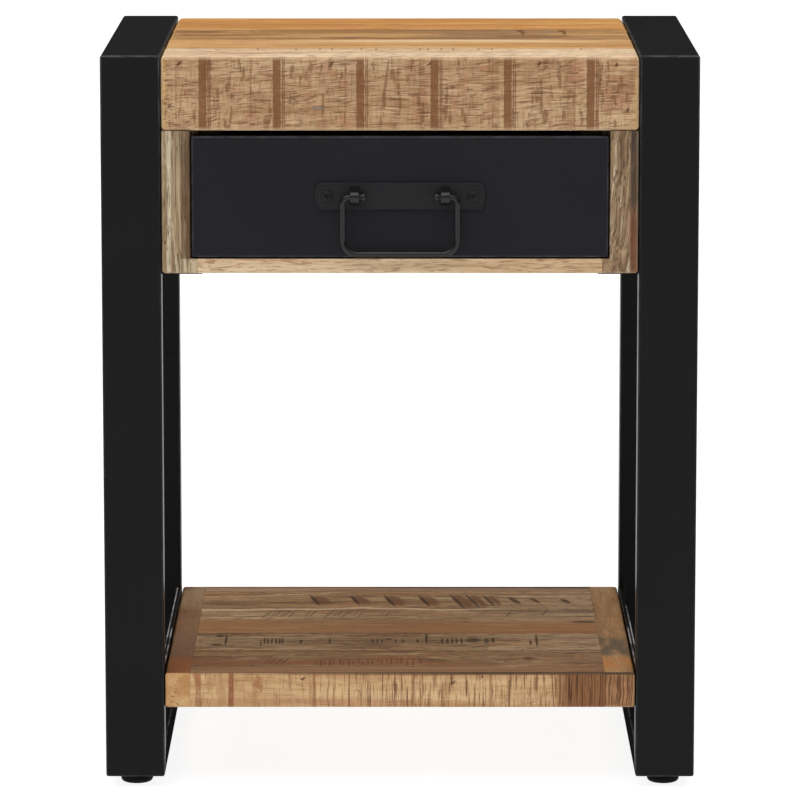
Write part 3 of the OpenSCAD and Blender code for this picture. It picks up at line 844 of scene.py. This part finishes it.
def ring_points(width, height, radius, segments):
    """Rounded rectangle from the origin, counter-clockwise."""
    points = []
    for cx, cy, start in ((width - radius, radius, -90), (width - radius, height - radius, 0),
                          (radius, height - radius, 90), (radius, radius, 180)):
        points += arc(cx, cy, radius, start, start + 90, segments)
    return points


def arc(cx, cy, radius, start, end, count):
    """Points on an arc, angles in degrees, both ends included."""
    turns = [math.radians(start + (end - start) * i / count) for i in range(count + 1)]
    return [(cx + radius * math.cos(t), cy + radius * math.sin(t)) for t in turns]


def bridge(bm, first, second):
    """Faces between two rings with the same number of vertices."""
    for i in range(len(first)):
        j = (i + 1) % len(first)
        bm.faces.new((first[i], first[j], second[j], second[i]))


def shell(rings, closed=False):
    """Mesh through rings of points. It joins the last ring to the first if closed, or fills both ends."""
    bm = bmesh.new()
    made = [[bm.verts.new(Vector(point)) for point in ring] for ring in rings]
    for first, second in zip(made, made[1:]):
        bridge(bm, first, second)
    if closed:
        bridge(bm, made[-1], made[0])
    else:
        bm.faces.new(made[0])
        bm.faces.new(made[-1])
    bmesh.ops.recalc_face_normals(bm, faces=bm.faces[:])
    return bm


def lathe(profile, segments, matrix):
    """Turns a profile of (radius, height) about Z."""
    turns = [2 * math.pi * i / segments for i in range(segments)]
    return shell([[matrix @ Vector((radius * math.cos(t), radius * math.sin(t), height)) for t in turns]
                  for radius, height in profile])


# ---------------------------------------------------------------- steel frames

TUBE_R = 2 * MM
TUBE_WALL = 1.5 * MM
CORNER_R = 1.3 * MM
ALL_SIDES = "-x+x-y+y-z+z"


def soften(x, y, z, length):
    """Rounds the outer edge at both mitres of a tube that lies along +Z with its long face at y = 0."""
    for flipped in (False, True):
        end = length - z if flipped else z
        away = math.hypot(CORNER_R - y, CORNER_R - end)
        if y < CORNER_R and end < CORNER_R and away > CORNER_R:
            y, end = (CORNER_R - (CORNER_R - v) * CORNER_R / away for v in (y, end))
            z = length - end if flipped else end
    return x, y, z


def tube(node, matrix, length, material):
    """Hollow rectangular tube, mitred at both ends, with a rounded outer edge where two tubes meet."""
    width = OUTER_X - INNER_X
    straight, parts = 3 * MM, 12
    half = length / 2 - TUBE_T
    stations = [0.0, 0.25 * MM, 0.6 * MM, 1.0 * MM, 1.6 * MM, straight]
    stations += [straight + (half - straight) * i / parts for i in range(1, parts + 1)]
    rings = []
    for inset, corner in ((0.0, TUBE_R), (TUBE_WALL, TUBE_R - TUBE_WALL)):
        outline = [(px + inset - width / 2, py + inset)
                   for px, py in ring_points(width - 2 * inset, TUBE_T - 2 * inset, corner, 6)]
        wall = [[soften(x, y, y + at, length) for x, y in outline] for at in stations]
        wall += [[soften(x, y, length - y - at, length) for x, y in outline] for at in reversed(stations)]
        rings += wall if inset == 0.0 else list(reversed(wall))
    bm = shell(rings, closed=True)
    bm.transform(matrix)
    bmesh.ops.recalc_face_normals(bm, faces=bm.faces[:])
    stand_for(bm, node, material, ALL_SIDES, 0.8 * TUBE_R)


def frames(material, matt):
    """Two frames of four mitred tubes, and the angle bars between their legs."""
    height = FRAME_Z1 - FRAME_Z0
    depth = REAR_Y - FRONT_Y
    tubes = (("front_leg", FRONT_Y, FRAME_Z0, 0, "Z", height, material),
             ("rear_leg", REAR_Y, FRAME_Z0, 180, "Z", height, material),
             ("top_rail", FRONT_Y, FRAME_Z1, -90, "X", depth, material),
             ("bottom_rail", REAR_Y, FRAME_Z0, 90, "X", depth, matt))
    for name, sign in SIDES:
        x = sign * (INNER_X + OUTER_X) / 2
        for part, y, z, turn, axis, length, coating in tubes:
            place = Matrix.Translation((x, y, z)) @ Matrix.Rotation(math.radians(turn), 4, axis)
            tube(name + "_" + part, place, length, coating)
        refine(name + "_case_angle", material, SOFT_EDGE)
        # The shelf bars get painted highlight lines along their flanges.
        bar_coat = powder_coat("frame_coat_%s_bar" % name, COAT, bar=name)
        refine(name + "_shelf_angle", bar_coat, SOFT_EDGE)


def bead(name, start, end, side_a, side_b, leg, material, seed):
    """Fillet weld in the corner between two faces, along which side_a and side_b point away from it."""
    start, end, side_a, side_b = Vector(start), Vector(end), Vector(side_a), Vector(side_b)
    length = (end - start).length
    count = max(8, round(length / (0.7 * MM)))
    rings = []
    for i in range(count + 1):
        share = i / count
        place = start.lerp(end, share)
        edge = min(1.0, min(share, 1 - share) * length / (1.6 * MM))
        ripple = 0.86 + 0.1 * math.cos(2 * math.pi * share * length / (2.3 * MM))
        uneven = 0.14 * noise.noise(place * 300 + Vector((seed, 0, 0)))
        reach = leg * math.sqrt(max(0.04, edge)) * (ripple + uneven)
        bulge = 0.78 * reach
        ring = [place - 0.25 * MM * (side_a + side_b), place + reach * side_a]
        ring += [place + bulge * (a * side_a + b * side_b)
                 for a, b in ((0.8, 0.42), (0.62, 0.62), (0.42, 0.8))]
        rings.append(ring + [place + reach * side_b])
    obj = link_mesh(name, shell(rings))
    obj.data.materials.append(material)
    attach(obj, "table")


def welds(material):
    """Beads at the ends of the angle bars and in the inner corners of the frames."""
    depth_ends = (("front", FRONT_Y + TUBE_T, 1), ("rear", REAR_Y - TUBE_T, -1))
    height_ends = (("low", FRAME_Z0 + TUBE_T, 1), ("high", FRAME_Z1 - TUBE_T, -1))
    seed = 0
    for name, sign in SIDES:
        for end, y, inward in depth_ends:
            for bar in ("shelf", "case"):
                lo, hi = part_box("%s_%s_angle" % (name, bar))
                x = sign * max(abs(lo[0]), abs(hi[0]))
                seed += 1
                heavy = (name, bar, end) == ("right", "shelf", "rear")
                size, over = (3.4 * MM, 6 * MM) if heavy else (2.6 * MM, 1.2 * MM)
                bead("weld_%s_%s_%s" % (name, bar, end), (x, y, lo[2]), (x, y, hi[2] + over),
                     (sign, 0, 0), (0, inward, 0), size, material, seed)
            for level, z, upward in height_ends:
                seed += 1
                x0, x1 = sign * (INNER_X + 1.5 * MM), sign * (OUTER_X - 1.5 * MM)
                bead("weld_%s_%s_%s" % (name, level, end), (x0, y, z), (x1, y, z),
                     (0, inward, 0), (0, 0, upward), 2.2 * MM, material, seed)


def feet(material):
    """Round glides: a lip round the sole, a groove under the collar, and the stem inside the rail."""
    profile = [(1.0, 0.6), (5.6, 0.6), (6.0, 0.5), (6.3, 0.1), (6.6, 0.0), (8.0, 0.0)]
    profile += arc(8.0, 3.0, 3.0, -80, 0, 8)
    profile += [(11.0, 4.9), (10.85, 5.1), (10.6, 5.15), (10.6, 5.75), (10.85, 5.8), (11.0, 6.0)]
    profile += [(11.0, 7.5), (10.85, 7.85), (10.5, 8.0), (3.9, 8.0), (3.9, 17.4), (3.3, 18.0), (1.0, 18.0)]
    for name, _ in SIDES:
        for end in ("front", "rear"):
            node = "%s_%s_foot" % (name, end)
            lo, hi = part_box(node)
            place = Matrix.Translation(((lo[0] + hi[0]) / 2, (lo[1] + hi[1]) / 2, 0))
            stand_for(lathe([(r * MM, z * MM) for r, z in profile], 48, place), node, material)


# ---------------------------------------------------------------- drawer front and handle

def tray(material):
    """Folded sheet over the drawer front: a thin shell with rounded edges and an open back."""
    lo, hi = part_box("drawer_front_tray")
    sheet, radius, inner = 1.2 * MM, 1.5 * MM, 0.4 * MM
    size_x, size_z, depth = hi[0] - lo[0], hi[2] - lo[2], hi[1] - lo[1]

    def ring(inset, y):
        corner = max(radius - inset, 0.25 * MM)
        return [(lo[0] + inset + x, lo[1] + y, lo[2] + inset + z)
                for x, z in ring_points(size_x - 2 * inset, size_z - 2 * inset, corner, 4)]

    def face(inset, y):
        return [ring(inset + 6 * MM * i, y) for i in range(5)]

    rings = face(radius, 0)[::-1]
    rings += [ring(radius - radius * math.sin(t), radius - radius * math.cos(t))
              for t in (math.pi / 2 * i / 5 for i in range(1, 6))]
    rings += [ring(0, depth * share) for share in (0.4, 0.7, 1.0)]
    rings += [ring(sheet, depth), ring(sheet, sheet + inner)]
    rings += face(sheet + inner, sheet)
    stand_for(shell(rings), "drawer_front_tray", material, "-x+x-y-z+z", radius)


def plate(material):
    """Back plate of the handle: soft edges, and a line pressed in just inside each curved end."""
    lo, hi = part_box("handle_plate")
    half_w, half_h = (hi[0] - lo[0]) / 2, (hi[2] - lo[2]) / 2
    middle_z = (lo[2] + hi[2]) / 2
    end_r = 19.35 * MM

    def outline(inset, y, press=0.0):
        radius = end_r - inset
        reach = math.degrees(math.asin((half_h - inset) / radius))
        right = arc(half_w - end_r, 0, radius, -reach, reach, 16)
        left = arc(end_r - half_w, 0, radius, 180 - reach, 180 + reach, 16)
        across = [(right[-1][0] * (1 - i / 8) + left[0][0] * i / 8, half_h - inset) for i in range(1, 8)]
        back = [(-x, -z) for x, z in across]
        points = right + across + left + back
        near_end = half_w - 7 * MM
        pressed = [press * max(0.0, min(1.0, (abs(x) - near_end) / (3 * MM))) for x, _ in points]
        return [(x, y + depth, middle_z + z) for (x, z), depth in zip(points, pressed)]

    y0, y1, soft = lo[1], hi[1], 0.5 * MM
    rings = [outline(soft, y1), outline(0, y1 - 0.2 * MM)]
    rings += [outline(soft - soft * math.cos(t), y0 + soft - soft * math.sin(t))
              for t in (math.pi / 2 * i / 4 for i in range(5))]
    groove = 0.22 * MM
    rings += [outline(inset * MM, y0, press) for inset, press in
              ((1.3, 0), (1.5, groove), (1.9, groove), (2.1, 0), (4, 0), (7, 0))]
    stand_for(shell(rings), "handle_plate", material)


def posts(material, pivot_y, pivot_z):
    """Bored posts: a round nose in front of a foot that widens to the plate."""
    nose, base, bore = 4.4 * MM, 6.5 * MM, 2.05 * MM
    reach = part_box("handle_plate")[0][1] - pivot_y
    corner = math.atan2(base, reach)
    turns = sorted({*(2 * math.pi * i / 56 - math.pi for i in range(56)), corner, -corner})

    def radius(turn, inset):
        side = abs(turn)
        if side <= corner:
            return reach / math.cos(side)
        if side < math.pi / 2:
            return nose / (math.sin(side) - (base - nose) / reach * math.cos(side)) - inset
        return nose - inset

    for name, _ in SIDES:
        node = name + "_handle_post"
        lo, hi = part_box(node)

        def ring(x, inset=None, hole=None):
            sizes = [hole if hole else radius(t, inset) for t in turns]
            return [(x, pivot_y + r * math.cos(t), pivot_z + r * math.sin(t)) for r, t in zip(sizes, turns)]

        def half(end, inward):
            """Rings from the bore's mouth, over the end face, to its rounded outer edge."""
            return [ring(end + inward * 0.25 * MM, hole=bore), ring(end, hole=bore + 0.25 * MM),
                    ring(end, 1.2 * MM), ring(end, 0.6 * MM), ring(end + inward * 0.18 * MM, 0.18 * MM),
                    ring(end + inward * 0.6 * MM, 0)]

        rings = half(lo[0], 1) + [ring((lo[0] + hi[0]) / 2, 0)] + half(hi[0], -1)[::-1]
        stand_for(shell(rings, closed=True), node, material)


def bail(material, pivot_y, pivot_z):
    """Bent wire with peened ends."""
    wire, bend, corner = 2 * MM, 4.5 * MM, 10 * MM
    lo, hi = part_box("handle_bail")
    arm_x = hi[0] - wire
    drop = pivot_z - (lo[2] + wire)
    end_x = 22.6 * MM
    head = [(0.0, 1.4), (0.2, 2.1), (0.6, 2.6), (1.1, 2.8), (2.6, 2.8), (3.1, 2.6), (3.45, 2.3), (3.6, 2.0)]
    path = [(end_x + x * MM, 0.0, r * MM) for x, r in head]
    path += [(x, 0.0, wire) for x in (29 * MM, 32 * MM)]
    path += [(x, z, wire) for x, z in arc(arm_x - bend, -bend, bend, 90, 0, 10)]
    path += [(arm_x, -z * MM, wire) for z in (10, 16, 22, 26)]
    path += [(x, z, wire) for x, z in arc(arm_x - corner, corner - drop, corner, 0, -90, 14)]
    path += [(x * MM, -drop, wire) for x in (20, 10)]
    path = path + [(0.0, -drop, wire)] + [(-x, z, r) for x, z, r in reversed(path)]
    turns = [2 * math.pi * k / 20 for k in range(20)]
    rings = []
    for i, (x, z, radius) in enumerate(path):
        before, after = path[max(i - 1, 0)], path[min(i + 1, len(path) - 1)]
        along = Vector((after[0] - before[0], 0, after[1] - before[1])).normalized()
        up = along.cross(Vector((0, 1, 0)))
        rings.append([(x + radius * math.sin(t) * up[0], pivot_y + radius * math.cos(t),
                       pivot_z + z + radius * math.sin(t) * up[2]) for t in turns])
    stand_for(shell(rings), "handle_bail", material)


# ---------------------------------------------------------------- assembly

def wooden_parts():
    """Top, drawer case and shelf."""
    for i, material in enumerate((top_wood_front(), top_wood_second(), top_wood_third(), top_wood_rear())):
        outer = "-x+x-z+z" + ("-y", "", "", "+y")[i]
        board("top_stave_%d" % (i + 1), outer, material, radius=3 * MM)
    floor_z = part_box("case_bottom")[1][2]
    rebate_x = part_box("drawer_front_tray")[1][0] + 1 * MM
    rebate_y = FRONT_Y + 16 * MM
    for name, sign in SIDES:
        lo = (min(sign * 0.1, sign * rebate_x), FRONT_Y - 0.01, floor_z)
        hi = (max(sign * 0.1, sign * rebate_x), rebate_y, 0.6)
        outer = "-y+y-z" + ("+x" if sign > 0 else "-x")
        board(name + "_case_side", outer, case_wood(name, sign), cut=(lo, hi))
    board("case_bottom", "-y+y-z", case_bottom_wood())
    board("case_back", "+y", inner_wood("inner_wood_back", "x", 15), radius=1 * MM, arris_amount=0)
    board("left_shelf_rim", "-x-y+y-z+z", shelf_wood_left())
    board("right_shelf_rim", "+x-y+y-z+z", shelf_wood_right())
    board("shelf_front_rim", "-y-z+z", shelf_wood_front())
    board("shelf_rear_rim", "+y-z+z", shelf_wood_rear())
    staves = (shelf_wood_first(), shelf_wood_second(), shelf_wood_third(), shelf_wood_fourth())
    for i, material in enumerate(staves):
        board("shelf_stave_%d" % (i + 1), "-z+z", material)


def hidden_parts():
    """CAD nodes that keep their own shape, with softened edges."""
    along_y = inner_wood("inner_wood_y", "y", 16)
    along_x = inner_wood("inner_wood_x", "x", 18)
    # The dark strips stand for shade in the gap over the drawer front.
    dark = shade_strip_wood()
    for name, _ in SIDES:
        refine(name + "_drawer_side", along_y, SOFT_EDGE)
        refine(name + "_runner", dark, SOFT_EDGE)
        refine(name + "_kicker", dark, SOFT_EDGE)
    refine("drawer_stop", dark, SOFT_EDGE)
    refine("drawer_back", along_x, SOFT_EDGE)
    refine("drawer_front_board", along_x, SOFT_EDGE)
    refine("top_dowels", inner_wood("inner_wood_z", "z", 19), 0.2 * MM)
    refine("drawer_bottom", plywood(), 0.3 * MM)
    screws = zinc_plate()
    for node in ("shelf_screws", "case_screws", "drawer_front_screws", "drawer_back_screws"):
        refine(node, screws, 0.12 * MM)


def drawer_front():
    """Steel tray and handle."""
    hinge = next(joint for joint in RECORD["behaviour"]["joints"] if joint["name"] == "handle_swing")
    pivot_y, pivot_z = hinge["pos_m"][1:]
    # The tray gets a painted highlight along its arrises.
    tray(powder_coat("drawer_steel", "252427", arris_amount=0.4))
    handle = powder_coat("handle_steel", "181819", roughness=0.2, specular=0.34, arris_amount=0.2)
    flat = powder_coat("plate_steel", "252527", roughness=0.3, specular=0.08, arris_amount=0.6)
    plate(flat)
    posts(handle, pivot_y, pivot_z)
    bail(handle, pivot_y, pivot_z)
    refine("handle_screws", flat, 0.15 * MM)


# ---------------------------------------------------------------- stage

def camera():
    """Long lens at the height and distance of a catalogue photograph, aimed a little down."""
    distance, height, drop, lens = 3.457, 0.834, 9.302, 234.4
    data = bpy.data.cameras.new("camera")
    data.sensor_width = 36.0
    data.lens = lens
    obj = link("camera", data)
    obj.location = (0, FRONT_Y - distance, height)
    obj.rotation_euler = (math.radians(90 - drop), 0, 0)
    bpy.context.scene.camera = obj


def light(name, kind, place, target, power, **settings):
    """A light at a place, turned towards its target."""
    data = bpy.data.lights.new(name, kind)
    data.energy = power
    for key, value in settings.items():
        setattr(data, key, value)
    obj = link(name, data)
    obj.location = place
    obj.rotation_euler = (Vector(target) - Vector(place)).to_track_quat("-Z", "Y").to_euler()


def stage():
    """Softly glowing pale floor, an overhead dome that is dark near the horizon, and two weak soft suns."""
    world = Graph("studio", world=True)
    height = world.split(world.add("ShaderNodeTexCoord").outputs["Generated"])[2]
    world.put(world.shader.inputs["Strength"], world.remap(height, 0.35, 0.85, 0.03, 1.6))
    bpy.context.scene.world = world.owner
    bpy.context.scene.view_settings.view_transform = "Standard"
    light("sun", "SUN", (-0.8, -1.4, 3.2), (0, 0, 0), 0.75, angle=math.radians(50))
    light("fill", "SUN", (-0.35, -1.0, 0.3), (0, 0, 0), 0.45, angle=math.radians(80))
    bm = bmesh.new()
    bmesh.ops.create_grid(bm, x_segments=8, y_segments=8, size=15)
    floor = link_mesh("floor", bm)
    graph = Graph("floor_paper")
    tone = graph.ramp(graph.noise(graph.coords(), 3.0), ((0.24, 0.24, 0.24), (0.26, 0.26, 0.26)), 0.2)
    graph.surface(tone, 0.9, 0.1)
    graph.put(graph.shader.inputs["Emission Color"], (1.0, 1.0, 1.0))
    graph.put(graph.shader.inputs["Emission Strength"], 0.9)
    floor.data.materials.append(graph.owner)


# Painted highlight along the tube arrises, mostly at the top rails; full strength on the matt bottom rails.
coat = powder_coat("frame_coat", COAT, roughness=0.3, low=0.3)
frames(coat, powder_coat("rail_coat", COAT, roughness=0.6, specular=0.0, arris_amount=1.0))
welds(coat)
feet(foot_plastic())
wooden_parts()
hidden_parts()
drawer_front()
camera()
stage()
